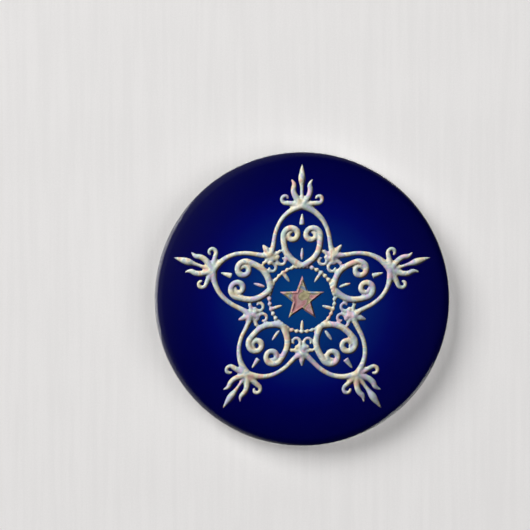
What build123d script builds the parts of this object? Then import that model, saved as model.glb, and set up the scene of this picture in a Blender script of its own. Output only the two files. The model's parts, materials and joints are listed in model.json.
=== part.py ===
from build123d import *
from math import atan2, cos, degrees, radians, sin, sqrt, tan
import os

# Button badge, 2 1/4 inch, with a closed metal back and a spring pin. Sizes are in millimetres.
#
# The badge stands as it is worn: the printed face looks along -Y, the back along +Y and +Z is up.
# The origin is the centre of the plane that the back rim and the crest of the back plate lie on.
# Seen from behind, the catch is on the left, at +X, and the coil of the pin is at -X.

# Whole badge
badge_diameter = 57.2
depth = 6.4  # from the back rim to the middle of the domed face

# Wrapped face, from the outside in
film_gauge = 0.08
paper_gauge = 0.12
shell_gauge = 0.25
shoulder_radius = 2.2  # outside, where the face turns into the side
side_height = 0.5  # straight part of the side
curl_radius = 0.7  # outside of the rolled back edge
lip_length = 0.5  # straight lip inside the curl
tuck_length = 0.25  # film and paper run on past the lip by this much

# Stamped back plate, with widths measured from the seam inwards
plate_gauge = 0.3
seam_clearance = 0.05  # between the skirt of the plate and the wrapped lip
skirt_flare = 0.45  # how far the foot of the skirt reaches out under the lip
skirt_clearance = 0.1  # between the foot of the skirt and the tucked film
bead_width = 0.8
bead_drop = 0.3  # the bead lies this far below the crest
bead_bend = 0.2
groove_width = 1.45
groove_depth = 1.0
crest_width = 0.5
wall_width = 3.65  # sloping ring between the crest and the flat pan
pan_depth = 2.2
pan_bend = 0.6
crest_bend = 0.2
groove_bend = 0.3

# Spring pin
wire_diameter = 0.75
pin_height = 8.1  # of the wire where it crosses the catch, above the centre of the badge
hinge_inset = 5.9  # from the edge of the pan, along the line of the pin
coil_radius = 1.5  # to the middle of the wire
coil_turns = 1.5
coil_gap = 0.03
hinge_lean = 25.0  # degrees by which the coil leans back from the plate
shank_droop = 2.0  # degrees by which the shank falls from the coil to the catch
tip_reach = 2.1  # from the middle of the catch to the point
taper_length = 3.5
tip_radius = 0.05
leg_length = 8.0
leg_bend = 0.9
hook_length = 1.2
hook_clearance = 0.05
strap_length = 2.0
strap_start = 3.0  # from the axis of the coil
strap_clearance = 0.02

# Catch, lanced from the back plate
catch_inset = 5.9  # from the edge of the pan, along the line of the pin
catch_width = 4.7
prong_width = 1.0
catch_overhang = 1.3  # of the prongs above the wire
catch_foot = 3.5  # from the wire down to the bottom of the catch
catch_clearance = 0.08  # between the wire and the prongs
flare_margin = 3.0  # degrees by which the prongs open more than the path of the wire
catch_bend = 0.4
lance_clearance = 0.1
dimple_length = 6.8
dimple_width = 5.3
dimple_depth = 0.5
dimple_shift = 0.75  # of the dimple towards the rim, from the middle of the catch
dimple_fall = 1.1  # of the middle of the dimple below the wire
dimple_slope = 45.0  # degrees, of the side of the dimple

# Places that follow from the sizes above
outer_radius = badge_diameter / 2
curl_height = -curl_radius
shoulder_height = curl_height - side_height
seam_radius = outer_radius - 2 * curl_radius - seam_clearance
bead_inner = seam_radius - bead_width
crest_outer = bead_inner - groove_width
crest_inner = crest_outer - crest_width
pan_radius = crest_inner - wall_width
tuck_end = curl_height - lip_length - tuck_length
wire_radius = wire_diameter / 2

half_chord = sqrt(pan_radius**2 - pin_height**2)
hinge_x = hinge_inset - half_chord
catch_x = half_chord - catch_inset
leg_y = wire_radius - pan_depth
coil_length = coil_turns * (wire_diameter + coil_gap)
lean, droop = radians(hinge_lean), radians(shank_droop)
hinge_y = leg_y + coil_radius * sin(lean) + coil_length * cos(lean)
shank_to_catch = (catch_x - hinge_x - coil_radius * sin(droop)) / cos(droop)
rise_at_catch = coil_radius * cos(droop) - shank_to_catch * sin(droop)
hinge_z = pin_height - rise_at_catch * cos(lean)
wire_y = hinge_y + rise_at_catch * sin(lean)
leg_z = hinge_z - coil_radius * cos(lean) + coil_length * sin(lean)

# The coil turns in this plane: its x runs along the shank, its y is where the pin opens to.
coil_plane = Plane(
    origin=(hinge_x, hinge_y, hinge_z), x_dir=(1, 0, 0), z_dir=(0, -cos(lean), sin(lean))
)


def skin(start, gauge, tuck):
    """One wrapped layer of the face, from `start` below the outside, `gauge` thick."""
    reach = outer_radius - shoulder_radius
    fall = depth + shoulder_height
    crown = (fall**2 + reach**2 - shoulder_radius**2) / (2 * (fall - shoulder_radius))
    crown_y = crown - depth
    turn = degrees(atan2(shoulder_height - crown_y, reach))
    curl_r = outer_radius - curl_radius
    end = curl_height - lip_length - tuck

    def outline(inset):
        CenterArc((0, crown_y), crown - inset, -90, 90 + turn)
        CenterArc((reach, shoulder_height), shoulder_radius - inset, turn, -turn)
        side = outer_radius - inset
        Line((side, shoulder_height), (side, curl_height))
        CenterArc((curl_r, curl_height), curl_radius - inset, 0, 180)
        inner = curl_r - curl_radius + inset
        Line((inner, curl_height), (inner, end))
        return inner

    with BuildPart() as layer:
        with BuildSketch(Plane.XY):
            with BuildLine():
                first = outline(start)
                second = outline(start + gauge)
                Line((first, end), (second, end))
                Line((0, start - depth), (0, start + gauge - depth))
            make_face()
        revolve(axis=Axis.Y)
    return layer.part


def pressed_disc():
    """The round stamping: pan, sloping wall, crest, groove, bead and the skirt that hooks in the seam."""
    half = plate_gauge / 2
    skirt = seam_radius - half
    foot = tuck_end - skirt_clearance
    corners = [
        (0, -pan_depth - half),
        (pan_radius, -pan_depth - half),
        (crest_inner, -half),
        (crest_outer, -half),
        ((crest_outer + bead_inner) / 2, -groove_depth - half),
        (bead_inner, -bead_drop - half),
        (skirt, -bead_drop - half),
        (skirt, foot),
        (skirt + skirt_flare, foot - skirt_flare),
    ]
    bends = [pan_bend, crest_bend, crest_bend, groove_bend, bead_bend, bead_bend, bead_bend]
    path = FilletPolyline(*corners, radius=bends)
    return revolve(trace(path, line_width=plate_gauge), axis=Axis.Y)


def oval(length, width, y):
    """A flat-sided oval on the plate around the middle of the dimple, drawn at height `y`."""
    place = Pos(catch_x + dimple_shift, pin_height - dimple_fall)
    return Plane.XZ.offset(-y) * place * SlotOverall(length, width)


def hoop(outset, y, deep):
    """The U shape of the catch seen square on, grown by `outset` and `deep` thick, up from height `y`."""
    top = pin_height + catch_overhang
    bottom = pin_height - catch_foot

    def rounded(width, low):
        straight = Rectangle(width, top - low - width / 2, align=(Align.CENTER, Align.MAX))
        return Pos(0, top) * straight + Pos(0, low + width / 2) * Circle(width / 2)

    window = catch_width - 2 * prong_width
    outline = rounded(catch_width + 2 * outset, bottom - outset)
    outline -= Pos(0, outset) * rounded(window - 2 * outset, bottom + prong_width)
    return extrude(Plane.XZ.offset(-y) * Pos(catch_x, 0) * outline, amount=-deep)


def catch():
    """A strip of the plate lanced up, bent flat over the wire and flared, then cut to the U shape."""
    half = plate_gauge / 2
    root = pin_height - catch_foot + plate_gauge
    roof = wire_y + wire_radius + catch_clearance + half
    start = pin_height - wire_radius
    tip = pin_height + catch_overhang
    rise = (tip - start) * tan(lean + radians(flare_margin))
    floor = -pan_depth - dimple_depth - half
    path = FilletPolyline((floor, root), (roof, root), (roof, start), (roof + rise, tip), radius=catch_bend)
    strip = extrude(Plane.YZ * trace(path, line_width=plate_gauge), amount=outer_radius)
    return strip & hoop(0, floor - half, roof + rise - floor + 2 * plate_gauge)


def strap():
    """A bridge pushed up out of the plate over the anchored leg, drawn at the start of its length."""
    inside = wire_radius + strap_clearance
    outside = inside + plate_gauge
    tall = leg_y + pan_depth + plate_gauge

    def arch(reach):
        crown = Circle(reach) & Rectangle(reach, 2 * reach, align=(Align.MIN, Align.CENTER))
        return Pos(leg_y, leg_z) * (crown + Rectangle(tall, 2 * reach, align=(Align.MAX, Align.CENTER)))

    place = Plane.YZ.offset(hinge_x + strap_start)
    bridge = extrude(place * (arch(outside) - arch(inside)), amount=strap_length)
    return bridge, extrude(place * arch(inside), amount=strap_length)


def back_plate():
    """The stamping with its dimple, its openings, the strap over the leg and the catch."""
    dimple_floor = -pan_depth - dimple_depth
    spread = plate_gauge * tan(radians(dimple_slope / 2))
    bump = oval(dimple_length + 2 * spread, dimple_width + 2 * spread, -pan_depth - plate_gauge)
    hollow = oval(dimple_length, dimple_width, -pan_depth)
    plate = pressed_disc() + extrude(bump, amount=dimple_depth, taper=dimple_slope)
    plate -= extrude(hollow, amount=dimple_depth, taper=dimple_slope)

    lanced = hoop(lance_clearance, dimple_floor - plate_gauge, plate_gauge + dimple_depth)
    kept = pin_height - catch_foot + 2 * plate_gauge
    plate -= split(lanced, bisect_by=Plane.XY.offset(kept), keep=Keep.TOP)
    bridge, passage = strap()
    end = hinge_x + leg_length
    hole_radius = wire_radius + hook_clearance
    hole_length = leg_bend + 2 * hole_radius
    hole = Pos(end + hole_radius - hole_length / 2, leg_z) * SlotOverall(hole_length, 2 * hole_radius)
    plate -= extrude(Plane.XZ.offset(pan_depth) * hole, amount=plate_gauge)
    return plate - passage + bridge + catch()


def ring(height):
    """One closed turn of the coil, `height` along its axis towards the plate."""
    return coil_plane * Pos(0, 0, height) * Torus(coil_radius, wire_radius)


def pin_anchor():
    """The fixed end of the wire: the turn nearest the plate, the leg under the strap and its hook."""
    end = hinge_x + leg_length
    hook_end = leg_y - leg_bend - hook_length
    route = FilletPolyline(
        (hinge_x, leg_y, leg_z), (end, leg_y, leg_z), (end, hook_end, leg_z), radius=leg_bend
    )
    section = Plane(origin=(hinge_x, leg_y, leg_z), z_dir=(1, 0, 0)) * Circle(wire_radius)
    return ring(coil_length) + sweep(section, path=route)


def pin():
    """The end that opens: the turn nearest the wearer, the straight shank and the ground point."""
    aim = coil_plane * Rot(0, 0, -shank_droop) * Pos(0, coil_radius, 0) * Rot(0, 90, 0)
    straight = shank_to_catch + tip_reach - taper_length
    bottom = (Align.CENTER, Align.CENTER, Align.MIN)
    shank = sweep(aim * Circle(wire_radius), path=aim * Line((0, 0, 0), (0, 0, straight)))
    point = aim * Pos(0, 0, straight) * Cone(wire_radius, tip_radius, taper_length, align=bottom)
    return ring(0) + shank + point


nodes = {
    "clear_film": lambda: skin(0, film_gauge, tuck_length),
    "printed_paper": lambda: skin(film_gauge, paper_gauge, tuck_length),
    "front_shell": lambda: skin(film_gauge + paper_gauge, shell_gauge, 0),
    "back_plate": back_plate,
    "pin_anchor": pin_anchor,
    "pin": pin,
}

if __name__ == "__main__":
    os.makedirs("parts", exist_ok=True)
    for name, make in nodes.items():
        export_step(make(), f"parts/{name}.step")
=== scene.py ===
"""Builds the finished look of a button badge around its packed frame, and sets it up for a render."""

import json
from math import asin, atan2, cos, hypot, pi, radians, sin, sqrt, tan

import bmesh
import bpy
from mathutils import Matrix, Vector


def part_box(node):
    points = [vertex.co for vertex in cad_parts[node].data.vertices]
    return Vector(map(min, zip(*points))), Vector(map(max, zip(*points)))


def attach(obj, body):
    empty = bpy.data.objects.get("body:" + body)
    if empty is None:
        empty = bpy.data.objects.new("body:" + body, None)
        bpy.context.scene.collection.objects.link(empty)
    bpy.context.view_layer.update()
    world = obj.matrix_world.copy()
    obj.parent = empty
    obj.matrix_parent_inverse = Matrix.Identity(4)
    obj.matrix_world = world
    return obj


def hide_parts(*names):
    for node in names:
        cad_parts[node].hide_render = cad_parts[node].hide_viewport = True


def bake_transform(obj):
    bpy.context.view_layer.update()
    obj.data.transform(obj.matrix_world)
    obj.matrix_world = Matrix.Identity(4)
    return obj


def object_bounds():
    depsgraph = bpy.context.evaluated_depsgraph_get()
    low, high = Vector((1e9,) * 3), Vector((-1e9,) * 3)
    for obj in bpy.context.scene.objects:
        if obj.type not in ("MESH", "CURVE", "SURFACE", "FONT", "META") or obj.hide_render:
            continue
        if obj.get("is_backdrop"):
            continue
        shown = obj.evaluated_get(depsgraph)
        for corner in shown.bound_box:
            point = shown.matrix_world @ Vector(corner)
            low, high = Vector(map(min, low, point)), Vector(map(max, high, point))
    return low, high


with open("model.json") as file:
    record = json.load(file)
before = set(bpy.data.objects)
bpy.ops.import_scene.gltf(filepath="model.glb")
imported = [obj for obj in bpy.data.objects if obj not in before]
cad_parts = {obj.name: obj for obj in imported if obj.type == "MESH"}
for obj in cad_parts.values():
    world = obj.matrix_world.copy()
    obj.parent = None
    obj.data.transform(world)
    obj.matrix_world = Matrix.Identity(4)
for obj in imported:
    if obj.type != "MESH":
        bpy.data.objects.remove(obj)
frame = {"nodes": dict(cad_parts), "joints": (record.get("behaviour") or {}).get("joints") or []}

bl_info = {
    "name": "Button Badge",
    "version": (1, 0, 0),
    "blender": (4, 5, 0),
    "location": "3D View > Sidebar > Badge",
    "description": "Models a pin-back button badge piece by piece, with its finishes and a small studio",
    "category": "Add Mesh",
}

MM = 0.001
TIDY = 1e-6  # closer than this, in metres, two points are one
TURN_STEPS = 192  # steps of a full turn
DOME_STEPS = 14  # steps from the middle of the dome to its shoulder
ARMS = 5  # arms of the printed star
HALF_ARM = 36  # degrees from the middle of an arm to where two arms meet

face_low, face_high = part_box("clear_film")
hinge = frame["joints"][0]
HINGE = Vector(hinge["pos_m"])
HINGE_AXIS = Vector(hinge["axis"])


# -------------------- sizes


def length(name, description, default):
    """A size in metres, with its default given in millimetres."""
    return bpy.props.FloatProperty(
        name=name, description=description, default=default * MM, min=0, precision=5,
        unit="LENGTH", subtype="DISTANCE",
    )


def angle(name, description, default):
    """An angle, with its default given in degrees."""
    return bpy.props.FloatProperty(
        name=name, description=description, default=radians(default),
        unit="ROTATION", subtype="ANGLE",
    )


def colour(name, description, *shade):
    """A colour, with its default given as eight-bit display values."""
    return bpy.props.FloatVectorProperty(
        name=name, description=description, default=tone(*shade), subtype="COLOR", min=0, max=1
    )


def tone(*shade):
    """Eight-bit display values as scene light."""
    parts = [part / 255 for part in shade]
    return [part / 12.92 if part <= 0.04045 else ((part + 0.055) / 1.055) ** 2.4 for part in parts]


def darker(shade, share):
    """A colour brought down to a share of its light."""
    return [part * share for part in shade]


class FaceSizes(bpy.types.PropertyGroup):
    """The wrapped front: shell, printed paper and clear film."""

    radius: length("Radius", "Outside of the badge", face_high.x / MM)
    depth: length("Depth", "From the back rim to the middle of the dome", -face_low.y / MM)
    shoulder: length("Shoulder", "Outside radius where the dome turns into the side", 2.2)
    side: length("Side", "Straight part of the side", 0.5)
    curl: length("Curl", "Outside radius of the rolled back edge", 0.7)
    lip: length("Lip", "Wrapped edge inside the curl", 0.75)
    film: length("Film", "Thickness of the clear film", 0.08)
    paper: length("Paper", "Thickness of the printed paper", 0.12)


class PlateSizes(bpy.types.PropertyGroup):
    """The stamped plate that closes the back."""

    gauge: length("Gauge", "Thickness of the tinplate", 0.3)
    seam: length("Seam", "Radius of the skirt that hooks into the wrapped lip", 27.15)
    bead: length("Bead", "Width of the rolled bead beside the seam", 0.8)
    bead_drop: length("Bead drop", "How far the bead lies below the crest", 0.3)
    groove: length("Groove", "Width of the groove inside the bead", 1.45)
    groove_depth: length("Groove depth", "Depth of that groove below the crest", 1.0)
    crest: length("Crest", "Width of the ridge that the badge rests on", 0.5)
    wall: length("Wall", "Width of the sloping ring", 3.65)
    pan: length("Pan depth", "Depth of the flat middle below the crest", 2.2)
    pan_bend: length("Pan bend", "Radius where the wall meets the flat middle", 0.6)
    crest_bend: length("Crest bend", "Radius of the edges of the crest", 0.2)
    groove_bend: length("Groove bend", "Radius at the bottom of the groove", 0.3)
    skirt_foot: length("Skirt foot", "How far down the skirt reaches", 1.55)
    skirt_flare: length("Skirt flare", "How far the foot of the skirt turns out", 0.45)
    dimple_length: length("Dimple length", "Along the pin", 6.8)
    dimple_width: length("Dimple width", "Across the pin", 5.3)
    dimple_depth: length("Dimple depth", "Below the flat middle", 0.5)
    dimple_shift: length("Dimple shift", "From the middle of the catch towards the rim", 0.75)
    dimple_fall: length("Dimple fall", "Below the line of the pin", 1.1)


class CatchSizes(bpy.types.PropertyGroup):
    """The forked catch lanced from the plate."""

    place: length("Place", "From the middle of the badge to the middle of the catch", 13.2037)
    pin_height: length("Pin height", "Of the line of the pin above the middle of the badge", 8.1)
    width: length("Width", "Across both prongs", 4.7)
    prong: length("Prong", "Width of one prong", 1.0)
    overhang: length("Overhang", "Of the prongs above the wire", 1.3)
    foot: length("Foot", "From the wire down to the round end", 3.5)
    clearance: length("Clearance", "Between the wire and the prongs", 0.08)
    lance: length("Lance gap", "Gap left in the plate all round the catch", 0.1)
    bend: length("Bend", "Radius where the strip turns over the wire", 0.4)
    flare: angle("Flare", "Angle at which the prongs open", 28.0)
    tip: length("Tip", "Rounding of the corners of the prongs", 0.3)
    edge: length("Edge", "Rounding left on the cut edges by the press", 0.12)


class WireSizes(bpy.types.PropertyGroup):
    """The spring pin, one bent wire."""

    diameter: length("Diameter", "Of the wire", 0.75)
    coil: length("Coil", "Radius of the coil, to the middle of the wire", 1.5)
    coil_gap: length("Coil gap", "Between two turns", 0.03)
    droop: angle("Droop", "How far the shank falls towards the catch", 2.0)
    reach: length("Reach", "From the middle of the catch to the point", 2.1)
    taper: length("Taper", "Length of the ground point", 3.5)
    leg: length("Leg", "From the coil to the hook", 8.0)
    leg_bend: length("Leg bend", "Radius of the bend into the hook", 0.9)
    hook: length("Hook", "Straight end of the wire inside the badge", 1.2)
    strap_start: length("Strap start", "From the axis of the coil to the strap", 3.0)
    strap: length("Strap", "Width of the strap over the leg", 2.0)
    strap_gap: length("Strap gap", "Between the strap and the leg", 0.02)
    strap_edge: length("Strap edge", "Rounding left on the edges of the strap by the press", 0.07)


class StarSizes(bpy.types.PropertyGroup):
    """The printed scroll star."""

    tip: length("Tip", "From the middle of the badge to the point of a finial", 26.2)
    collar: length("Collar", "Where a finial springs from its arch", 18.2)
    link: length("Link", "Where two arches meet", 10.6)
    ring: length("Ring", "Radius of the beaded ring", 6.3)
    bead: length("Bead", "Radius of a bead", 0.36)
    star: length("Star", "From the middle to a point of the small star", 4.5)
    line: length("Line", "Radius of a plain line", 0.46)
    ink: length("Ink", "Height of the print above the paper", 0.05)
    grain: length("Grain", "Fineness of the joined lines", 0.17)


class Colours(bpy.types.PropertyGroup):
    """Finish colours."""

    glow: colour("Glow", "Blue of the print in the middle", 7, 62, 122)
    blue: colour("Blue", "Blue of the print half way out", 2, 22, 101)
    navy: colour("Navy", "Blue of the print at the shoulder", 1, 1, 60)
    paper: colour("Paper", "Bare paper where the print ends", 244, 243, 240)
    cream: colour("Cream", "Lit side of the printed scrolls", 255, 251, 244)
    shade: colour("Shade", "Far side of the printed scrolls", 44, 38, 42)
    tin: colour("Tin", "Tinplate", 224, 224, 226)
    nickel: colour("Nickel", "Plated wire", 226, 226, 226)
    wall: colour("Wall", "Pale backdrop", 228, 226, 225)


def sizes_of(*names):
    """The scene's size groups with these names."""
    return [getattr(bpy.context.scene, "badge_" + name) for name in names]


# -------------------- modelling by hand


def deselect():
    """Nothing stays selected from the step before."""
    bpy.ops.object.select_all(action="DESELECT")


def take(*pieces):
    """Selects these objects alone and makes the first one active."""
    deselect()
    for piece in pieces:
        piece.select_set(True)
    bpy.context.view_layer.objects.active = pieces[0]


def named(name):
    """Gives the active object, and its data, its name."""
    piece = bpy.context.object
    piece.name = piece.data.name = name
    return piece


def everything():
    """In edit mode, selects the whole mesh."""
    bpy.ops.mesh.select_all(action="SELECT")


def edit(piece):
    """Opens a piece in edit mode with all of it selected."""
    take(piece)
    bpy.ops.object.mode_set(mode="EDIT")
    everything()


def extend(step):
    """Extrudes what is selected by a step."""
    bpy.ops.mesh.extrude_region_move(TRANSFORM_OT_translate={"value": step})


def pick(kind, test):
    """In edit mode, selects only the verts, edges or faces whose middle passes the test."""
    mode = {"verts": (True, False, False), "edges": (False, True, False), "faces": (False, False, True)}
    bpy.context.tool_settings.mesh_select_mode = mode[kind]
    bpy.ops.mesh.select_all(action="DESELECT")
    mesh = bpy.context.object.data
    shape = bmesh.from_edit_mesh(mesh)
    for item in getattr(shape, kind):
        if kind == "verts":
            middle = item.co
        else:
            middle = sum((corner.co for corner in item.verts), Vector()) / len(item.verts)
        item.select_set(bool(test(middle)))
    shape.select_flush_mode()
    bmesh.update_edit_mesh(mesh)


def draw(name, points):
    """A line through the points, drawn by extruding its first vertex on, left in edit mode."""
    deselect()
    bpy.ops.mesh.primitive_plane_add(size=MM, location=points[0])
    bpy.ops.object.transform_apply(location=True)
    piece = named(name)
    bpy.context.tool_settings.mesh_select_mode = (True, False, False)
    edit(piece)
    bpy.ops.mesh.merge(type="CENTER")
    for before, after in zip(points, points[1:]):
        extend(Vector(after) - Vector(before))
    return piece


def round_corner(place, radius):
    """Rounds the drawn corner at `place` to a radius."""
    mesh = bpy.context.object.data
    corner = min(bmesh.from_edit_mesh(mesh).verts, key=lambda vert: (vert.co - Vector(place)).length)
    ways = [(edge.other_vert(corner).co - corner.co).normalized() for edge in corner.link_edges]
    turn = pi - ways[0].angle(ways[1])
    spot = corner.co.copy()
    pick("verts", lambda middle: (middle - spot).length < TIDY)
    bpy.ops.mesh.bevel(affect="VERTICES", offset=radius * tan(turn / 2), segments=6)


def turn_round():
    """Spins the drawn profile a full turn about Y, then closes its seam and poles."""
    everything()
    bpy.ops.mesh.spin(steps=TURN_STEPS, angle=2 * pi, center=(0, 0, 0), axis=(0, 1, 0))
    clean_up()


def clean_up():
    """Merges what lies on one spot and turns every face outwards."""
    everything()
    bpy.ops.mesh.remove_doubles(threshold=TIDY)
    bpy.ops.mesh.normals_make_consistent(inside=False)
    bpy.ops.object.mode_set(mode="OBJECT")


def modify(piece, kind, **settings):
    """Adds a modifier and applies it."""
    take(piece)
    modifier = piece.modifiers.new(kind.title(), kind)
    for key, value in settings.items():
        setattr(modifier, key, value)
    bpy.ops.object.modifier_apply(modifier=modifier.name)


def cut(piece, outline, deep):
    """Cuts the outline out of the piece, reaching `deep` towards the back."""
    block = draw("block", outline)
    everything()
    bpy.ops.mesh.edge_face_add()
    extend((0, deep, 0))
    clean_up()
    modify(piece, "BOOLEAN", operation="DIFFERENCE", solver="EXACT", object=block)
    bpy.data.objects.remove(block)


def join(name, pieces):
    """Makes one piece of several."""
    take(*pieces)
    bpy.ops.object.join()
    return named(name)


def smooth(piece, limit):
    """Soft shading everywhere but on the sharp edges."""
    take(piece)
    bpy.ops.object.shade_smooth_by_angle(angle=radians(limit))


def round_line(name, lines, radius, kind, **settings):
    """A round bar along each line of (place, share of the radius), all as one mesh."""
    curve = bpy.data.curves.new(name, "CURVE")
    curve.dimensions, curve.bevel_depth, curve.use_fill_caps = "3D", radius, True
    for key, value in settings.items():
        setattr(curve, key, value)
    for line in lines:
        spline = curve.splines.new(kind)
        spline.points.add(len(line) - 1)
        for knot, (spot, share) in zip(spline.points, line):
            knot.co, knot.radius = (*spot, 1), share
        if kind == "NURBS":
            spline.order_u, spline.use_endpoint_u = 3, True
    piece = bpy.data.objects.new(name, curve)
    bpy.context.collection.objects.link(piece)
    take(piece)
    bpy.ops.object.convert(target="MESH")
    return named(name)


def settle(piece, material, slot, *nodes):
    """Gives a finished badge piece its finish and its body, and hides the frame nodes that it stands
    for.
    """
    piece.data.materials.clear()
    piece.data.materials.append(material)
    if nodes:
        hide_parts(*nodes)
    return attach(piece, "badge")


def arc(centre, radius, start, sweep, count):
    """Points along an arc in the plane of a profile, with its angles in radians."""
    turns = [start + sweep * step / count for step in range(count + 1)]
    return [(centre[0] + radius * cos(turn), centre[1] + radius * sin(turn)) for turn in turns]


# -------------------- finishes


class Signal:
    """A node's output. Sums and products of signals add the Math nodes that work them out."""

    def __init__(self, finish, socket):
        self.finish = finish
        self.socket = socket

    def out(self, name):
        """Another output of the same node."""
        return Signal(self.finish, self.socket.node.outputs[name])

    def maths(self, operation, *values):
        node = self.finish.tree.nodes.new("ShaderNodeMath")
        node.operation = operation
        for socket, value in zip(node.inputs, values):
            self.finish.feed(socket, value)
        return Signal(self.finish, node.outputs[0])

    def __add__(self, other):
        return self.maths("ADD", self, other)

    def __sub__(self, other):
        return self.maths("SUBTRACT", self, other)

    def __rsub__(self, other):
        return self.maths("SUBTRACT", other, self)

    def __mul__(self, other):
        return self.maths("MULTIPLY", self, other)

    def __truediv__(self, other):
        return self.maths("DIVIDE", self, other)

    __radd__ = __add__
    __rmul__ = __mul__

    def root(self):
        return self.maths("SQRT", self)

    def at_least(self, other):
        """Whichever of the two is the larger."""
        return self.maths("MAXIMUM", self, other)

    def step(self, low, high):
        """Rises smoothly from 0 to 1 between two values."""
        settings = {"interpolation_type": "SMOOTHSTEP"}
        values = {"Value": self, "From Min": low, "From Max": high}
        return self.finish.node("MapRange", settings, values)


class Finish:
    """A material and the nodes that make it."""

    def __init__(self, name):
        self.material = bpy.data.materials.new(name)
        self.material.use_nodes = True
        self.tree = self.material.node_tree
        self.tree.nodes.clear()

    def feed(self, socket, value):
        """Links a signal to a socket, or sets a plain value on it."""
        if isinstance(value, Signal):
            self.tree.links.new(value.socket, socket)
        elif socket.type == "RGBA" and len(value) == 3:
            socket.default_value = (*value, 1)
        else:
            socket.default_value = value

    def node(self, kind, settings=None, sockets=None):
        """Adds a node, sets it up, fills its sockets and returns its first output in use."""
        node = self.tree.nodes.new("ShaderNode" + kind)
        for key, value in (settings or {}).items():
            if key == "stops":
                self.set_ramp(node.color_ramp, value)
            else:
                setattr(node, key, value)
        for name, value in (sockets or {}).items():
            in_use = [one for one in node.inputs if one.enabled and one.name == name]
            self.feed(in_use[0] if in_use else node.inputs[name], value)
        outputs = [one for one in node.outputs if one.enabled]
        return Signal(self, outputs[0]) if outputs else None

    def set_ramp(self, ramp, stops):
        """Fills a ramp from (place, colour) pairs."""
        while len(ramp.elements) < len(stops):
            ramp.elements.new(1)
        for element, (place, shade) in zip(ramp.elements, stops):
            element.position = place
            element.color = (*shade, 1)

    def place(self, stretch=(1, 1, 1)):
        """Object coordinates in millimetres, stretched along each axis."""
        spot = self.node("TexCoord").out("Object")
        scale = [1 / MM / part for part in stretch]
        return self.node("Mapping", {}, {"Vector": spot, "Scale": scale})

    def noise(self, size, detail=3.0, rough=0.5, stretch=(1, 1, 1), twist=0.0):
        """Cloudy noise whose spots are `size` millimetres across, stretched along each axis."""
        values = {
            "Vector": self.place(stretch), "Scale": 1 / size, "Detail": detail, "Roughness": rough,
            "Distortion": twist,
        }
        return self.node("TexNoise", {}, values)

    def axes(self, vector):
        """The three parts of a vector."""
        parts = self.node("SeparateXYZ", {}, {"Vector": vector})
        return parts, parts.out("Y"), parts.out("Z")

    def blend(self, share, first, second, way="MIX"):
        """Goes from the first colour to the second as `share` goes from 0 to 1."""
        settings = {"data_type": "RGBA", "blend_type": way}
        return self.node("Mix", settings, {"Factor": share, "A": first, "B": second})

    def bump(self, height, distance):
        """A Normal from a height, with its full depth in metres."""
        return self.node("Bump", {}, {"Height": height, "Distance": distance})

    def surface(self, **values):
        """The Principled shader and the output. Words joined with _ name its sockets."""
        sockets = {key.replace("_", " "): value for key, value in values.items()}
        return self.show(self.node("BsdfPrincipled", {}, sockets))

    def show(self, shader):
        """Puts a shader on the output and gives the finished material."""
        self.node("OutputMaterial", {}, {"Surface": shader})
        return self.material


class Sky(Finish):
    """The light that comes from all round, made of nodes as a finish is."""

    def __init__(self, world):
        world.use_nodes = True
        self.tree = world.node_tree
        self.tree.nodes.clear()

    def glow(self, direction, low, high, strength):
        """Light from a direction, fading as one looks away from it."""
        way = self.node("TexCoord")
        facing = self.node("VectorMath", {"operation": "DOT_PRODUCT"}, {0: way, 1: direction})
        return facing.step(low, high) * strength


def clear_film():
    """Glossy laminate: it only adds its own reflections to what lies under it."""
    finish = Finish("clear_film_finish")
    gloss = finish.node("Fresnel", {}, {"IOR": 1.5})
    outside = 1 - finish.node("NewGeometry").out("Backfacing")
    ripple = finish.noise(6, detail=1)
    return finish.surface(
        Base_Color=(1, 1, 1), Metallic=1.0, Roughness=ripple * 0.04 + 0.06, Alpha=gloss * outside,
        Normal=finish.bump(ripple, 0.004 * MM),
    )


def printed_paper(colours, face):
    """Blue print, brightest in the middle and dark at the shoulder, on paper left bare at the back."""
    finish = Finish("printed_paper_finish")
    x, y, z = finish.axes(finish.place())
    reach = (x * x + z * z).root() / (face.radius / MM)
    cloud = finish.noise(7, detail=2) - 0.5
    stops = [
        (0.05, colours.glow), (0.3, tone(4, 46, 112)), (0.5, colours.blue), (0.62, tone(1, 5, 92)),
        (0.75, tone(1, 1, 76)), (0.97, colours.navy),
    ]
    ink = finish.node("ValToRGB", {"stops": stops}, {"Fac": reach + cloud * 0.035})
    screen = finish.noise(0.16, detail=1)
    ink = finish.blend(screen * 0.10, ink, (0, 0, 0.02))
    fibre = finish.noise(0.9, detail=5, rough=0.7)
    bare = finish.blend(fibre, colours.paper, darker(colours.paper, 0.9))
    ragged = y + (finish.noise(3, detail=2) - 0.5) * 0.1
    edge = ragged.step(-1.0, -0.88)
    return finish.surface(
        Base_Color=finish.blend(edge, ink, bare), Roughness=fibre * 0.15 + 0.42,
        Normal=finish.bump(fibre, 0.01 * MM), Specular_IOR_Level=0.03,
    )


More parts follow.
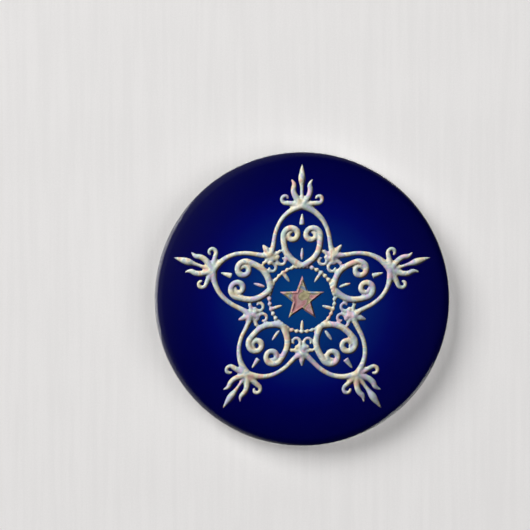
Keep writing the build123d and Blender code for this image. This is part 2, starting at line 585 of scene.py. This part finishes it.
def relief_print(name, colours, shades, patch, strength):
    """Ink that shows a rounded relief lit from the upper left, tinted in patches `patch` mm across."""
    finish = Finish(name)
    light, dark = colours.cream, colours.shade
    relief = finish.node("Attribute", {"attribute_name": "relief"}).out("Vector")
    across, up, outwards = finish.axes(relief)
    lit = across * -0.5 + up * 0.52 + outwards * 0.34 + 0.2
    grain = finish.noise(0.5, detail=3) - 0.5
    half_lit = [one * 0.42 + other * 0.58 for one, other in zip(light, dark)]
    stops = [(0.08, dark), (0.42, half_lit), (0.8, light)]
    shaded = finish.node("ValToRGB", {"stops": stops}, {"Fac": lit + grain * 0.16})
    drift = finish.noise(patch, detail=1, twist=1.2)
    tints = [(0.3 + 0.08 * place, tone(*shade)) for place, shade in enumerate(shades)]
    tint = finish.node("ValToRGB", {"stops": tints}, {"Fac": drift})
    return finish.surface(
        Base_Color=finish.blend(strength, shaded, tint, "MULTIPLY"), Roughness=grain * 0.1 + 0.45,
        Specular_IOR_Level=0.1,
    )


def scroll_ink(colours):
    """Pearly ink of the scrolls."""
    shades = (
        (246, 202, 194), (240, 240, 200), (255, 252, 248),
        (200, 232, 226), (206, 204, 246), (246, 214, 232),
    )
    return relief_print("scroll_ink_finish", colours, shades, 2.2, 0.9)


def opal_ink(colours):
    """Marbled ink of the small star."""
    shades = (
        (150, 92, 110), (206, 132, 140), (216, 170, 182),
        (150, 140, 96), (214, 206, 160), (120, 150, 190),
    )
    return relief_print("opal_ink_finish", colours, shades, 2.4, 0.9)


def tinplate(colours):
    """Rolled tinplate, with its grain running up and down."""
    finish = Finish("tinplate_finish")
    grain = finish.noise(0.35, detail=5, rough=0.65, stretch=(1, 1, 22))
    streak = finish.noise(2.4, detail=3, stretch=(1, 1, 9))
    mottle = finish.noise(5, detail=3)
    shade = finish.blend(streak * 0.5 + grain * 0.5, darker(colours.tin, 0.8), colours.tin)
    return finish.surface(
        Base_Color=shade, Metallic=1.0, Roughness=grain * 0.02 + mottle * 0.05 + 0.18,
        Normal=finish.bump(grain, 0.0004 * MM),
    )


def plated_wire(colours):
    """Nickel-plated spring wire with fine drawing lines."""
    finish = Finish("plated_wire_finish")
    lines = finish.noise(0.12, detail=4, stretch=(40, 1, 1))
    wear = finish.noise(1.5, detail=4)
    shade = finish.blend(wear.step(0.35, 0.7), darker(colours.nickel, 0.8), colours.nickel)
    return finish.surface(
        Base_Color=shade, Metallic=1.0, Roughness=lines * 0.12 + wear * 0.08 + 0.08,
        Normal=finish.bump(lines, 0.003 * MM),
    )


def backdrop(colours):
    """Pale wall with a faint upright grain. It isn't there for anyone who looks from behind it."""
    finish = Finish("backdrop_finish")
    grain = finish.noise(1.1, detail=5, rough=0.6, stretch=(1, 1, 26))
    cloud = finish.noise(16, detail=2)
    speckle = finish.noise(0.3, detail=1)
    mixed = (grain * 0.5 + cloud * 0.2 + speckle * 0.3).step(0.37, 0.63)
    values = {"Base Color": finish.blend(mixed, darker(colours.wall, 0.955), colours.wall)}
    wall = finish.node("BsdfPrincipled", {}, values | {"Roughness": 0.9, "Specular IOR Level": 0.1})
    nothing = finish.node("BsdfTransparent")
    behind = finish.node("NewGeometry").out("Backfacing")
    return finish.show(finish.node("MixShader", {}, {"Fac": behind, 1: wall, 2: nothing}))


# -------------------- wrapped face


def skin_line(face, inset, gauge):
    """The section of one wrapped layer, from the middle of the dome round the edge and back."""
    reach = face.radius - face.shoulder
    shoulder_y = -face.curl - face.side
    fall = face.depth + shoulder_y
    crown = (fall**2 + reach**2 - face.shoulder**2) / (2 * (fall - face.shoulder))
    crown_y = crown - face.depth
    turn = atan2(shoulder_y - crown_y, reach)

    def outline(inset):
        edge = face.radius - face.curl
        line = arc((0, crown_y), crown - inset, -pi / 2, pi / 2 + turn, DOME_STEPS)[:-1]
        line[0] = (0, line[0][1])
        line += arc((reach, shoulder_y), face.shoulder - inset, turn, -turn, 8)
        line += arc((edge, -face.curl), face.curl - inset, 0, pi, 12)
        return line + [(edge - face.curl + inset, -face.curl - face.lip)]

    return [(across, up, 0) for across, up in outline(inset) + outline(inset + gauge)[::-1]]


def wrapped_layer(name, face, inset, gauge):
    """One closed, wrapped layer of the face."""
    piece = draw(name, skin_line(face, inset, gauge))
    turn_round()
    smooth(piece, 50)
    return piece


def dome_y(face, inset, across, up):
    """Height of a wrapped layer's outside under a point of the face."""
    line = skin_line(face, inset, 0)
    rise = line[0][1]
    reach = hypot(across, up)
    edge_r, edge_y = line[DOME_STEPS - 1][:2]
    crown = (edge_r**2 + (edge_y - rise) ** 2) / (2 * (edge_y - rise))
    return rise + crown - sqrt(crown**2 - reach**2)


class FilmOperator(bpy.types.Operator):
    """Wrap the clear film round the badge"""

    bl_idname = "badge.film"
    bl_label = "Clear Film"

    def execute(self, context):
        face = context.scene.badge_face
        shown = face.film / 4  # thinner than the film is, to leave room under it for the raised ink
        piece = wrapped_layer("film_skin", face, 0, shown)
        settle(piece, clear_film(), "film", "clear_film")
        return {"FINISHED"}


class PaperOperator(bpy.types.Operator):
    """Wrap the printed paper round the shell"""

    bl_idname = "badge.paper"
    bl_label = "Printed Paper"

    def execute(self, context):
        face = context.scene.badge_face
        piece = wrapped_layer("paper_skin", face, face.film, face.paper)
        settle(piece, printed_paper(context.scene.badge_colours, face), "print", "printed_paper")
        return {"FINISHED"}


# -------------------- printed scroll star


def polar(reach, degrees_off):
    """A point of an arm, by its distance from the middle and its angle off the arm."""
    return reach * sin(radians(degrees_off)), reach * cos(radians(degrees_off))


def spiral(centre, start, turns, outer, inner, steps=12):
    """Points that wind in round a centre, from an angle in degrees; a negative turn goes clockwise."""
    count = round(abs(turns) * steps)
    points = []
    for step in range(count + 1):
        share = step / count
        turn = radians(start + 360 * turns * share)
        reach = outer + (inner - outer) * share**0.8
        points.append((centre[0] + reach * cos(turn), centre[1] + reach * sin(turn)))
    return points


def stroke(points, widths):
    """A flat line, planned in millimetres, for a round bar one millimetre in radius."""
    return [((across * MM, 0, up * MM), width) for (across, up), width in zip(points, widths)]


def lines_of_arm(star):
    """Right-hand lines of one arm, with the arm pointing up."""
    collar, link, ring, line = (value / MM for value in (star.collar, star.link, star.ring, star.line))
    lines = []

    def add(points, start, middle, end):
        count = len(points) - 1
        widths = []
        for step in range(count + 1):
            share = step / count
            swell = middle + (start - middle) * max(0, 1 - 2.6 * share) ** 1.5
            widths.append(swell + (end - middle) * max(0, 2.6 * share - 1.6) ** 1.5)
        lines.append(stroke(points, [line * width for width in widths]))

    arch = [(0, collar - 0.2), polar(collar - 0.7, 6), polar(16.0, 14.5), polar(14.0, 21.5)]
    arch += [polar(12.2, 26.5), polar(link + 0.35, 31.5), polar(link, HALF_ARM)]
    add(arch, 1.7, 1.0, 1.7)

    stem = [polar(ring, 0), polar(ring + 0.7, 9), polar(ring + 1.9, 16.5), polar(ring + 3.6, 19.5)]
    add(stem + spiral((1.92, 12.35), -8, 1.3, 1.75, 0.5), 1.5, 1.3, 0.6)

    tie = [polar(link - 0.1, HALF_ARM), polar(link - 0.75, 30), polar(link - 0.4, 23.5)]
    add(tie, 1.3, 0.7, 0.9)

    curl = [polar(link - 0.3, HALF_ARM), polar(link - 1.4, 34.5)]
    add(curl + spiral(polar(ring + 2.05, 27.6), 52, -0.9, 1.1, 0.48), 1.4, 0.72, 0.5)

    leaf = [(0.25, 0.2), (1.25, 1.4), (1.75, 2.9), (1.35, 4.1), (2.1, 5.0)]
    add([(across, collar + up) for across, up in leaf], 1.5, 1.25, 0.25)
    curl_out = [(0.3, collar - 0.1), (1.6, collar + 0.2), (2.9, collar + 0.3)]
    add(curl_out + spiral((3.2, collar + 1.15), -80, 0.72, 0.85, 0.5), 1.4, 0.85, 0.5)
    return lines


def middle_lines(star):
    """Lines on the middle of an arm, and the bud between two arms."""
    tip, collar, link, ring = (value / MM for value in (star.tip, star.collar, star.link, star.ring))
    reach = tip - collar
    spear = [(0, collar + reach * share) for share in (0, 0.22, 0.45, 0.62, 0.8, 1)]
    spear_widths = [1.3, 0.75, 0.8, 1.75, 1.2, 0.12]
    bud = [polar(link + step, HALF_ARM) for step in (0, 0.8, 1.5, 2.4)]
    pistil = [(0, ring + 1.2), (0, ring + 2.2), (0, ring + 3.6)]
    thorn = [polar(ring - step, HALF_ARM) for step in (0.2, 1.2, 2.3)]
    drop = [(0, 14.3), (0, 15.0), (0, 16.6)]
    plans = [
        (spear, spear_widths), (bud, (1.4, 1.2, 1.3, 0.3)), (pistil, (0.4, 1.2, 0.3)),
        (drop, (1.25, 1.2, 0.3)), (thorn, (0.7, 1.1, 0.3)),
    ]
    line = star.line / MM
    return [stroke(points, [line * width for width in widths]) for points, widths in plans]


def turned_copies(piece, count):
    """The piece and its copies, evenly about Y, each with its own mesh."""
    copies = [piece]
    for number in range(1, count):
        copy = piece.copy()
        copy.data = piece.data.copy()
        copy.data.transform(Matrix.Rotation(2 * pi / count * number, 4, "Y"))
        bpy.context.collection.objects.link(copy)
        copies.append(copy)
    return copies


def press_flat(piece, face, height, full):
    """Keeps the front half of a relief, remembers its normals and lays it on the dome as thin ink.

    The ink has its whole `height` wherever the relief stands out by `full` or more.
    """
    edit(piece)
    foot = 0.02 * MM
    bpy.ops.mesh.bisect(plane_co=(0, -foot, 0), plane_no=(0, 1, 0), clear_outer=True)
    bpy.ops.object.mode_set(mode="OBJECT")
    mesh = piece.data
    relief = mesh.attributes.new("relief", "FLOAT_VECTOR", "POINT")
    for vert, normal in zip(mesh.vertices, [vert.normal.copy() for vert in mesh.vertices]):
        relief.data[vert.index].vector = (normal.x, normal.z, -normal.y)
        across, y, up = vert.co
        lift = height * min(1, -y / full)
        vert.co.y = dome_y(face, face.film, across, up) - lift
    mesh.update()


class ScrollsOperator(bpy.types.Operator):
    """Print the scroll star on the paper"""

    bl_idname = "badge.scrolls"
    bl_label = "Printed Scrolls"

    def execute(self, context):
        star, face = sizes_of("star", "face")
        right = lines_of_arm(star)
        left = [[((-across, y, up), width) for (across, y, up), width in line] for line in right]
        lines = right + left + middle_lines(star)
        arm = round_line("arm", lines, MM, "NURBS", bevel_resolution=4, resolution_u=6)
        arms = turned_copies(arm, ARMS)
        beads = self.beaded_ring(star)
        piece = join("printed_scrolls", arms + beads)
        modify(piece, "REMESH", mode="VOXEL", voxel_size=star.grain)
        modify(piece, "SMOOTH", factor=0.5, iterations=3)
        press_flat(piece, face, star.ink, star.line * 1.6)
        smooth(piece, 180)
        settle(piece, scroll_ink(context.scene.badge_colours), "print", "printed_paper")
        return {"FINISHED"}

    def beaded_ring(self, star):
        """A thin hoop with forty beads on it."""
        deselect()
        bpy.ops.mesh.primitive_torus_add(
            major_radius=star.ring, minor_radius=star.bead * 0.55, major_segments=120,
            minor_segments=10, rotation=(pi / 2, 0, 0),
        )
        bpy.ops.object.transform_apply(rotation=True)
        hoop = named("hoop")
        deselect()
        place = (0, 0, star.ring)
        bpy.ops.mesh.primitive_ico_sphere_add(subdivisions=3, radius=star.bead * 1.25, location=place)
        bpy.ops.object.transform_apply(location=True)
        return [hoop] + turned_copies(named("bead"), 40)


class SmallStarOperator(bpy.types.Operator):
    """Print the small star in the middle"""

    bl_idname = "badge.small_star"
    bl_label = "Printed Small Star"

    def execute(self, context):
        star, face = sizes_of("star", "face")
        inner = star.star * 0.42
        spots = []
        for corner in range(2 * ARMS):
            reach = star.star if corner % 2 == 0 else inner
            turn = pi / ARMS * corner
            spots.append((reach * sin(turn), 0, reach * cos(turn)))
        piece = draw("printed_small_star", spots)
        everything()
        bpy.ops.mesh.edge_face_add()
        bpy.ops.mesh.normals_make_consistent(inside=False)
        for inwards, lift in ((0.28, -0.45), (0.25, 0.1)):  # a raised border, then a sunken middle
            bpy.ops.mesh.inset(thickness=inwards * MM)
            bpy.ops.transform.translate(value=(0, lift * MM, 0))
        bpy.ops.mesh.poke()
        everything()
        bpy.ops.mesh.subdivide(number_cuts=4)
        bpy.ops.mesh.normals_make_consistent(inside=False)
        bpy.ops.object.mode_set(mode="OBJECT")
        self.face_front(piece)
        press_flat(piece, face, star.ink, star.line)
        settle(piece, opal_ink(context.scene.badge_colours), "print", "printed_paper")
        return {"FINISHED"}

    def face_front(self, piece):
        """The open star looks out of the badge, towards -Y."""
        if sum(side.normal.y * side.area for side in piece.data.polygons) > 0:
            edit(piece)
            bpy.ops.mesh.flip_normals()
            bpy.ops.object.mode_set(mode="OBJECT")


class ShellOperator(bpy.types.Operator):
    """Finish the hidden front shell in tinplate"""

    bl_idname = "badge.shell"
    bl_label = "Front Shell Finish"

    def execute(self, context):
        shell = frame["nodes"]["front_shell"]
        shell.data.materials.clear()
        shell.data.materials.append(tinplate(context.scene.badge_colours))
        return {"FINISHED"}


# -------------------- back plate


def tin():
    """The tinplate finish that the shell already has."""
    return frame["nodes"]["front_shell"].data.materials[0]


def thicken(piece, plate):
    """Gives a drawn surface the thickness of the tinplate."""
    modify(piece, "SOLIDIFY", thickness=plate.gauge, offset=0, use_even_offset=True)


def press_edges(piece, width):
    """Rounds the cut edges of the sheet a little."""
    modify(piece, "BEVEL", width=width, segments=3, limit_method="ANGLE", angle_limit=radians(50))


def slot_line(middle, wide, tall, y):
    """A round-ended outline lying in the plate, `wide` along X and `tall` along Z."""
    end = min(wide, tall) / 2
    points = []
    for number in range(36):
        turn = 2 * pi * number / 36 + 0.01
        shift_x = max(0, wide / 2 - end) * (1 if cos(turn) > 0 else -1)
        shift_z = max(0, tall / 2 - end) * (1 if sin(turn) > 0 else -1)
        points.append((middle[0] + shift_x + end * cos(turn), y, middle[1] + shift_z + end * sin(turn)))
    return points


def fork_line(catch, outset, y, low):
    """The U of the catch seen square on, grown by `outset` and cut off straight at the height `low`."""
    half = catch.width / 2
    slot = half - catch.prong
    top = catch.pin_height + catch.overhang
    foot = catch.pin_height - catch.foot
    outer, inner = (catch.place, foot + half), (catch.place, foot + catch.prong + slot)
    reach = half + outset
    down = asin((outer[1] - low) / reach)
    line = [(catch.place - reach, top)]
    line += arc(outer, reach, pi, down, 14) + arc(outer, reach, -down, down, 14)
    line += [(catch.place + reach, top), (catch.place + slot - outset, top)]
    line += arc(inner, slot - outset, 0, -pi, 20)
    line += [(catch.place - slot + outset, top)]
    return [(across, y, up) for across, up in line]


class DiscOperator(bpy.types.Operator):
    """Stamp the round back plate"""

    bl_idname = "badge.disc"
    bl_label = "Back Disc"

    def execute(self, context):
        plate, catch, wire = sizes_of("plate", "catch", "wire")
        half = plate.gauge / 2
        bead_inner = plate.seam - plate.bead
        crest_outer = bead_inner - plate.groove
        crest_inner = crest_outer - plate.crest
        pan = crest_inner - plate.wall
        skirt = plate.seam - half
        flat = -plate.pan - half
        soft = plate.bead / 4
        corners = [
            ((pan - 1.2 * plate.pan_bend, flat), 0),
            ((pan, flat), plate.pan_bend),
            ((crest_inner, -half), plate.crest_bend),
            ((crest_outer, -half), plate.crest_bend),
            (((crest_outer + bead_inner) / 2, -plate.groove_depth - half), plate.groove_bend),
            ((bead_inner, -plate.bead_drop - half), soft),
            ((skirt, -plate.bead_drop - half), soft),
            ((skirt, -plate.skirt_foot), soft),
            ((skirt + plate.skirt_flare, -plate.skirt_foot - plate.skirt_flare), 0),
        ]
        piece = draw("back_disc", [(across, up, 0) for (across, up), bend in corners])
        for (across, up), bend in corners:
            if bend:
                round_corner((across, up, 0), bend)
        turn_round()
        self.fill_pan(piece, plate, catch, flat)
        thicken(piece, plate)
        self.cut_openings(piece, plate, catch, wire)
        smooth(piece, 35)
        settle(piece, tin(), "tinplate", "back_plate")
        return {"FINISHED"}

    def fill_pan(self, piece, plate, catch, flat):
        """Closes the flat middle, cuts a fine grid round the dimple and presses it in."""
        edit(piece)
        rim = min(hypot(vert.co.x, vert.co.z) for vert in bmesh.from_edit_mesh(piece.data).verts)
        pick("edges", lambda middle: hypot(middle.x, middle.z) < rim + TIDY)
        bpy.ops.mesh.edge_face_add()
        middle_x, middle_z = catch.place + plate.dimple_shift, catch.pin_height - plate.dimple_fall
        spans = ((0, middle_x, plate.dimple_length), (2, middle_z, plate.dimple_width))
        cuts = 16  # to each side of the middle
        for axis, middle, size in spans:
            reach = size / 2 + plate.dimple_depth + 0.2 * MM
            for step in range(-cuts, cuts + 1):
                spot, way = [0, 0, 0], [0, 0, 0]
                spot[axis], way[axis] = middle + reach * step / cuts, 1
                pick("faces", lambda at: abs(at.y - flat) < TIDY and hypot(at.x, at.z) < rim)
                bpy.ops.mesh.bisect(plane_co=spot, plane_no=way)
        straight = (plate.dimple_length - plate.dimple_width) / 2
        shape = bmesh.from_edit_mesh(piece.data)
        for vert in shape.verts:
            if hypot(vert.co.x, vert.co.z) > rim - TIDY:
                continue
            along = max(0, abs(vert.co.x - middle_x) - straight)
            outside = hypot(along, vert.co.z - middle_z) - plate.dimple_width / 2
            share = min(1, max(0, 0.5 - outside / (2 * plate.dimple_depth)))
            vert.co.y -= plate.dimple_depth * share * share * (3 - 2 * share)
        bmesh.update_edit_mesh(piece.data)
        clean_up()

    def cut_openings(self, piece, plate, catch, wire):
        """Cuts the gap round the lanced catch, the slot under the strap and the hole for the hook."""
        deep = 4 * plate.gauge
        low_start = -plate.pan - plate.dimple_depth - 2 * plate.gauge
        kept = catch.pin_height - catch.foot + 2 * plate.gauge  # below it the catch is still the plate
        cut(piece, fork_line(catch, catch.lance, low_start, kept), deep)
        leg_z = leg_middle(wire).z
        play = 0.1 * MM  # room for the hook in its hole
        hole = (wire.leg_bend + wire.diameter + play, wire.diameter + play)
        end = HINGE.x + wire.leg + hole[1] / 2 - hole[0] / 2
        start = -plate.pan - 2 * plate.gauge
        cut(piece, slot_line((end, leg_z), *hole, start), deep)
        gap = wire.diameter / 2 + wire.strap_gap
        left, right = HINGE.x + wire.strap_start, HINGE.x + wire.strap_start + wire.strap
        low, high = leg_z - gap, leg_z + gap
        corners = ((left, low), (right, low), (right, high), (left, high))
        cut(piece, [(across, start, up) for across, up in corners], deep)


class CatchOperator(bpy.types.Operator):
    """Lance and bend the forked catch"""

    bl_idname = "badge.catch"
    bl_label = "Catch"

    def execute(self, context):
        plate, catch, wire = sizes_of("plate", "catch", "wire")
        half = plate.gauge / 2
        radius = wire.diameter / 2
        root = catch.pin_height - catch.foot + plate.gauge
        roof = wire_height(wire, catch) + radius + catch.clearance + half
        start = catch.pin_height - radius
        floor = -plate.pan - plate.dimple_depth - half
        piece = draw("catch_loop", fork_line(catch, 0, roof, root))
        everything()
        bpy.ops.mesh.edge_face_add()
        top = catch.pin_height + catch.overhang
        pick("verts", lambda middle: middle.z > top - TIDY)
        bpy.ops.mesh.bevel(affect="VERTICES", offset=catch.tip, segments=5)
        rows = 29
        for row in range(rows):
            level = root + (top - root) * (row + 0.5) / rows
            everything()
            bpy.ops.mesh.bisect(plane_co=(0, 0, level), plane_no=(0, 0, 1))
        shape = bmesh.from_edit_mesh(piece.data)
        for vert in shape.verts:
            vert.co.y += self.rise(vert.co.z - start, catch)
        bmesh.update_edit_mesh(piece.data)
        pick("edges", lambda middle: middle.z < root + TIDY)
        extend((0, floor - roof, 0))
        pick("edges", lambda middle: middle.z < root + TIDY and abs(middle.y - roof) < TIDY)
        bpy.ops.mesh.bevel(offset=catch.bend, segments=7)
        clean_up()
        thicken(piece, plate)
        press_edges(piece, catch.edge)
        smooth(piece, 60)
        settle(piece, tin(), "tinplate", "back_plate")
        return {"FINISHED"}

    def rise(self, past, catch):
        """How far the prongs stand out, `past` the start of their flare, with a round start."""
        soft = catch.bend * tan(catch.flare / 2)
        if past <= -soft:
            return 0
        if past >= soft:
            return past * tan(catch.flare)
        return (past + soft) ** 2 / (4 * soft) * tan(catch.flare)


class StrapOperator(bpy.types.Operator):
    """Press the strap up over the leg of the wire"""

    bl_idname = "badge.strap"
    bl_label = "Leg Strap"

    def execute(self, context):
        plate, wire = sizes_of("plate", "wire")
        radius = wire.diameter / 2
        half = plate.gauge / 2
        leg = leg_middle(wire)
        reach = radius + wire.strap_gap + half
        x = HINGE.x + wire.strap_start
        base = -plate.pan - half
        line = [(x, base, leg.z - reach)]
        line += [(x, leg.y + up, leg.z + across) for across, up in arc((0, 0), reach, pi, -pi, 16)]
        line += [(x, base, leg.z + reach)]
        piece = draw("leg_strap", line)
        everything()
        for _ in range(4):
            extend((wire.strap / 4, 0, 0))
        clean_up()
        thicken(piece, plate)
        press_edges(piece, wire.strap_edge)
        smooth(piece, 60)
        settle(piece, tin(), "tinplate", "back_plate")
        return {"FINISHED"}


# -------------------- pin

ACROSS = Vector((1, 0, 0))
UPWARDS = HINGE_AXIS.cross(ACROSS)  # square to the axis of the coil


def coil_height(wire):
    """Height of one and a half turns of the coil."""
    return 1.5 * (wire.diameter + wire.coil_gap)


def coil_point(wire, turn, level):
    """A point of the coil, by its angle and its height along the hinge axis."""
    return HINGE + wire.coil * (ACROSS * cos(turn) + UPWARDS * sin(turn)) + HINGE_AXIS * level


def leg_middle(wire):
    """Where the fixed leg leaves the coil."""
    return coil_point(wire, 3 * pi / 2, coil_height(wire))


def shank(wire, catch):
    """Where the shank leaves the coil, its way, and how far it runs to the middle of the catch."""
    start = coil_point(wire, pi / 2 - wire.droop, 0)
    way = ACROSS * cos(wire.droop) - UPWARDS * sin(wire.droop)
    return start, way, (catch.place - start.x) / way.x


def wire_height(wire, catch):
    """Y of the middle of the wire where it crosses the catch."""
    start, way, run = shank(wire, catch)
    return (start + way * run).y


class WireOperator(bpy.types.Operator):
    """Bend the spring pin from one wire"""

    bl_idname = "badge.wire"
    bl_label = "Pin Wire"

    def execute(self, context):
        wire, catch = sizes_of("wire", "catch")
        radius = wire.diameter / 2
        piece = round_line("pin_wire", [self.route(wire, catch)], radius, "POLY", bevel_resolution=7)
        edit(piece)
        clean_up()
        smooth(piece, 50)
        piece.data.materials.append(plated_wire(context.scene.badge_colours))
        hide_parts("pin", "pin_anchor")
        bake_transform(piece)
        return {"FINISHED"}

    def route(self, wire, catch):
        """The middle of the wire from its point to its hook, as (place, share of the full radius)."""
        start, way, run = shank(wire, catch)
        end = run + wire.reach
        route = []
        blunt = 0.07  # radius left at the very point, over the full one
        for step in range(9):
            share = step / 8
            width = blunt + (1 - blunt) * share**0.8
            route.append((start + way * (end - wire.taper * share), width))
        for step in range(1, 13):
            route.append((start + way * (end - wire.taper) * (1 - step / 13), 1))
        first, last = pi / 2 - wire.droop, 7 * pi / 2
        for step in range(45):
            share = step / 44
            turn, level = first + (last - first) * share, coil_height(wire) * share
            route.append((coil_point(wire, turn, level), 1))
        leg = leg_middle(wire)
        turn_x = leg.x + wire.leg - wire.leg_bend
        for step in range(1, 6):
            route.append((leg + Vector(((turn_x - leg.x) * step / 6, 0, 0)), 1))
        for across, down in arc((turn_x, leg.y - wire.leg_bend), wire.leg_bend, pi / 2, -pi / 2, 10):
            route.append((Vector((across, down, leg.z)), 1))
        route.append((Vector((leg.x + wire.leg, leg.y - wire.leg_bend - wire.hook, leg.z)), 1))
        return route


# -------------------- stage

# name, place and size in metres, power in watts; the metal and the film mirror only the second group
SIDE_LIGHTS = (
    ("key_light", (-0.8, -1.0, 0.62), (0.9, 0.9), 19),
    ("fill_light", (0.8, -1.1, -0.1), (1.1, 1.1), 10),
    ("back_fill_light", (0.2, 0.9, 0.3), (0.9, 0.9), 9),
)
MIRRORED_LIGHTS = (
    ("rear_right_light", (-0.6, 0.3, 0.12), (0.5, 0.6), 1.9),
    ("rear_low_light", (0.42, 0.3, -0.42), (0.35, 0.35), 0.55),
    ("rear_top_light", (0.05, 0.55, 0.38), (0.5, 0.12), 0.7),
    ("rear_bottom_light", (0.1, 0.55, -0.36), (0.4, 0.1), 0.3),
)


def soft_box(name, place, size, power):
    """A softbox that looks at the badge."""
    deselect()
    bpy.ops.object.light_add(type="AREA", location=place)
    lamp = named(name)
    lamp.data.shape = "RECTANGLE"
    lamp.data.size, lamp.data.size_y = size
    lamp.data.energy = power
    lamp.rotation_euler = (-Vector(place)).to_track_quat("-Z", "Y").to_euler()
    return lamp


class StageOperator(bpy.types.Operator):
    """Set up the backdrop, the lights and the camera"""

    bl_idname = "badge.stage"
    bl_label = "Studio"

    def execute(self, context):
        low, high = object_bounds()
        clear = 1.3 * MM  # from the badge to the wall behind it
        self.wall(context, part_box("back_plate")[1].y + clear)
        for plan in SIDE_LIGHTS:
            soft_box(*plan).visible_glossy = False
        for plan in MIRRORED_LIGHTS:
            soft_box(*plan)
        self.world(context)
        self.camera(context, high.x - low.x)
        context.scene.view_settings.view_transform = "Standard"
        return {"FINISHED"}

    def wall(self, context, y):
        deselect()
        bpy.ops.mesh.primitive_plane_add(size=1.6, location=(0, y, 0), rotation=(pi / 2, 0, 0))
        bpy.ops.object.transform_apply(location=True, rotation=True)
        wall = named("backdrop")
        wall.data.materials.append(backdrop(context.scene.badge_colours))
        wall.visible_shadow = wall.visible_glossy = wall.visible_diffuse = False
        wall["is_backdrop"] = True

    def world(self, context):
        """Pale to the eye, dim to the badge, with a glow from behind, from the side and from below."""
        world = bpy.data.worlds.new("studio")
        sky = Sky(world)
        behind = sky.glow((-0.55, 0.62, 0.56), 0.05, 0.5, 0.16)
        aside = sky.glow((-0.9, 0, 0.44), 0.2, 0.9, 0.22)
        below = sky.glow((-0.71, 0.5, -0.49), 0.55, 0.97, 0.58)
        dim = sky.node("Background", {}, {"Color": behind.at_least(aside).at_least(below) + 0.002})
        seen = sky.node("Background", {}, {"Color": context.scene.badge_colours.wall})
        eye = sky.node("LightPath").out("Is Camera Ray")
        light = sky.node("MixShader", {}, {"Fac": eye, 1: dim, 2: seen})
        sky.node("OutputWorld", {}, {"Surface": light})
        context.scene.world = world

    def camera(self, context, across):
        """Square on to the face from a metre away, left of and above the middle of the badge."""
        wide = across * 1.8  # of the view, at the badge
        left, above, away = wide * 0.0698, wide * 0.064, 1
        deselect()
        bpy.ops.object.camera_add(location=(-left, -away, above), rotation=(pi / 2, 0, 0))
        camera = named("camera")
        camera.data.lens = camera.data.sensor_width * away / wide
        camera.data.clip_start, camera.data.clip_end = 0.01, 10
        context.scene.camera = camera


# -------------------- add-on

GROUPS = {
    "badge_face": FaceSizes, "badge_plate": PlateSizes, "badge_catch": CatchSizes,
    "badge_wire": WireSizes, "badge_star": StarSizes, "badge_colours": Colours,
}
OPERATORS = (
    FilmOperator, PaperOperator, ScrollsOperator, SmallStarOperator, ShellOperator, DiscOperator,
    CatchOperator, StrapOperator, WireOperator, StageOperator,
)


class BadgePanel(bpy.types.Panel):
    """Lists the badge's sizes and the steps that make it"""

    bl_idname = "VIEW3D_PT_badge"
    bl_label = "Button Badge"
    bl_space_type = "VIEW_3D"
    bl_region_type = "UI"
    bl_category = "Badge"

    def draw(self, context):
        for operator in OPERATORS:
            self.layout.operator(operator.bl_idname)
        for name, group in GROUPS.items():
            box = self.layout.box()
            box.label(text=group.__doc__)
            for field in group.__annotations__:
                box.prop(getattr(context.scene, name), field)


def register():
    for group in GROUPS.values():
        bpy.utils.register_class(group)
    for name, group in GROUPS.items():
        setattr(bpy.types.Scene, name, bpy.props.PointerProperty(type=group))
    for kind in (*OPERATORS, BadgePanel):
        bpy.utils.register_class(kind)


def unregister():
    for kind in (BadgePanel, *reversed(OPERATORS)):
        bpy.utils.unregister_class(kind)
    for name, group in GROUPS.items():
        delattr(bpy.types.Scene, name)
        bpy.utils.unregister_class(group)


def main():
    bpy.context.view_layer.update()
    register()
    for operator in OPERATORS:
        step = operator.bl_idname.split(".")[1]
        getattr(bpy.ops.badge, step)()


if __name__ == "__main__":
    main()
